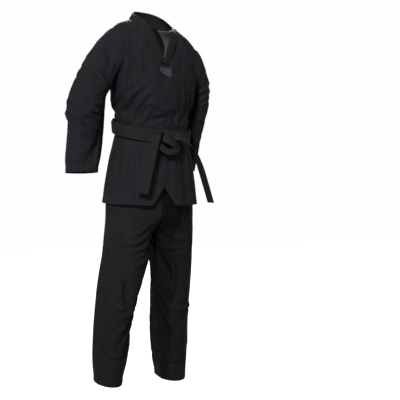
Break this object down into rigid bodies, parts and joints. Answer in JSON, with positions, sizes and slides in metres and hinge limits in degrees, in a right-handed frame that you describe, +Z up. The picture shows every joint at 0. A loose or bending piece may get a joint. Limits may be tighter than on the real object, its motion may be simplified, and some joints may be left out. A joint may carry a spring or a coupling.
{
  "type": "martial arts uniform",
  "caption": "Black ribbed martial arts uniform as worn: wrapped V-neck jacket, knotted belt with hanging tails and straight trousers.",
  "frame": {"origin": "middle of the base of the neck opening", "axes": "+Z up along the body, -Y to the front, +X to the wearer's left"},
  "size_m": [0.5957, 0.331, 1.431],
  "materials": {
    "ribbed_cloth": "matt black cotton with fine vertical ribs",
    "collar_cloth": "matt black twill with rows of stitching",
    "lining_cloth": "plain dark grey inner face of the cloth",
    "patch_cloth": "plain grey twill patch",
    "belt_webbing": "black cotton belt with rows of stitching",
    "elastic_band": "woven elastic",
    "eyelet_metal": "blackened metal eyelets"
  },
  "bodies": {
    "jacket": {"back_panel": "ribbed_cloth", "right_front_panel": "ribbed_cloth", "left_front_panel": "ribbed_cloth", "shoulder_lining": "lining_cloth", "chest_patch": "patch_cloth", "right_lapel": "collar_cloth", "left_lapel": "collar_cloth", "collar_stand": "collar_cloth", "right_shoulder_cap": "ribbed_cloth", "left_shoulder_cap": "ribbed_cloth", "belt_inner_wrap": "belt_webbing", "belt_outer_wrap": "belt_webbing", "belt_knot": "belt_webbing", "left_tail_root": "belt_webbing"},
    "front_skirt": {"right_front_flap": "ribbed_cloth", "left_front_flap": "ribbed_cloth", "right_flap_hem": "ribbed_cloth", "left_flap_hem": "ribbed_cloth", "belt_knot_bight": "belt_webbing"},
    "back_skirt": {"back_skirt_panel": "ribbed_cloth", "back_skirt_hem": "ribbed_cloth"},
    "right_sleeve": {"right_sleeve": "ribbed_cloth", "right_cuff_hem": "ribbed_cloth"},
    "left_sleeve": {"left_sleeve": "ribbed_cloth", "left_cuff_hem": "ribbed_cloth"},
    "right_belt_tail": {"right_belt_tail": "belt_webbing"},
    "left_belt_tail": {"left_belt_tail": "belt_webbing"},
    "trousers": {"waistband": "ribbed_cloth", "waist_elastic": "elastic_band", "drawstring_eyelets": "eyelet_metal", "right_hip_front": "ribbed_cloth", "right_hip_back": "ribbed_cloth", "left_hip_front": "ribbed_cloth", "left_hip_back": "ribbed_cloth"},
    "right_leg": {"right_leg_front": "ribbed_cloth", "right_leg_back": "ribbed_cloth", "right_leg_hem": "ribbed_cloth"},
    "left_leg": {"left_leg_front": "ribbed_cloth", "left_leg_back": "ribbed_cloth", "left_leg_hem": "ribbed_cloth"}
  },
  "joints": [
    {"name": "right_sleeve_raise", "type": "hinge", "parent": "jacket", "child": "right_sleeve", "pos_m": [-0.192, 0.005, -0.12], "axis": [0, 1, 0], "range_deg": [0, 75]},
    {"name": "left_sleeve_raise", "type": "hinge", "parent": "jacket", "child": "left_sleeve", "pos_m": [0.192, 0.005, -0.12], "axis": [0, -1, 0], "range_deg": [0, 75]},
    {"name": "front_skirt_swing", "type": "hinge", "parent": "jacket", "child": "front_skirt", "pos_m": [0, -0.14, -0.462], "axis": [-1, 0, 0], "range_deg": [0, 45]},
    {"name": "back_skirt_swing", "type": "hinge", "parent": "jacket", "child": "back_skirt", "pos_m": [0, 0.135, -0.414], "axis": [1, 0, 0], "range_deg": [0, 35]},
    {"name": "right_tail_swing", "type": "hinge", "parent": "front_skirt", "child": "right_belt_tail", "pos_m": [0, -0.14, -0.462], "axis": [-1, 0, 0], "range_deg": [0, 45]},
    {"name": "left_tail_swing", "type": "hinge", "parent": "front_skirt", "child": "left_belt_tail", "pos_m": [0, -0.14, -0.462], "axis": [-1, 0, 0], "range_deg": [0, 45]},
    {"name": "trousers_pull_down", "type": "slide", "parent": "jacket", "child": "trousers", "axis": [0, 0, -1], "range_m": [0, 0.42]},
    {"name": "right_leg_swing", "type": "hinge", "parent": "trousers", "child": "right_leg", "pos_m": [-0.09, 0, -0.86], "axis": [-1, 0, 0], "range_deg": [-25, 55]},
    {"name": "left_leg_swing", "type": "hinge", "parent": "trousers", "child": "left_leg", "pos_m": [0.09, 0, -0.86], "axis": [-1, 0, 0], "range_deg": [-25, 55]}
  ]
}
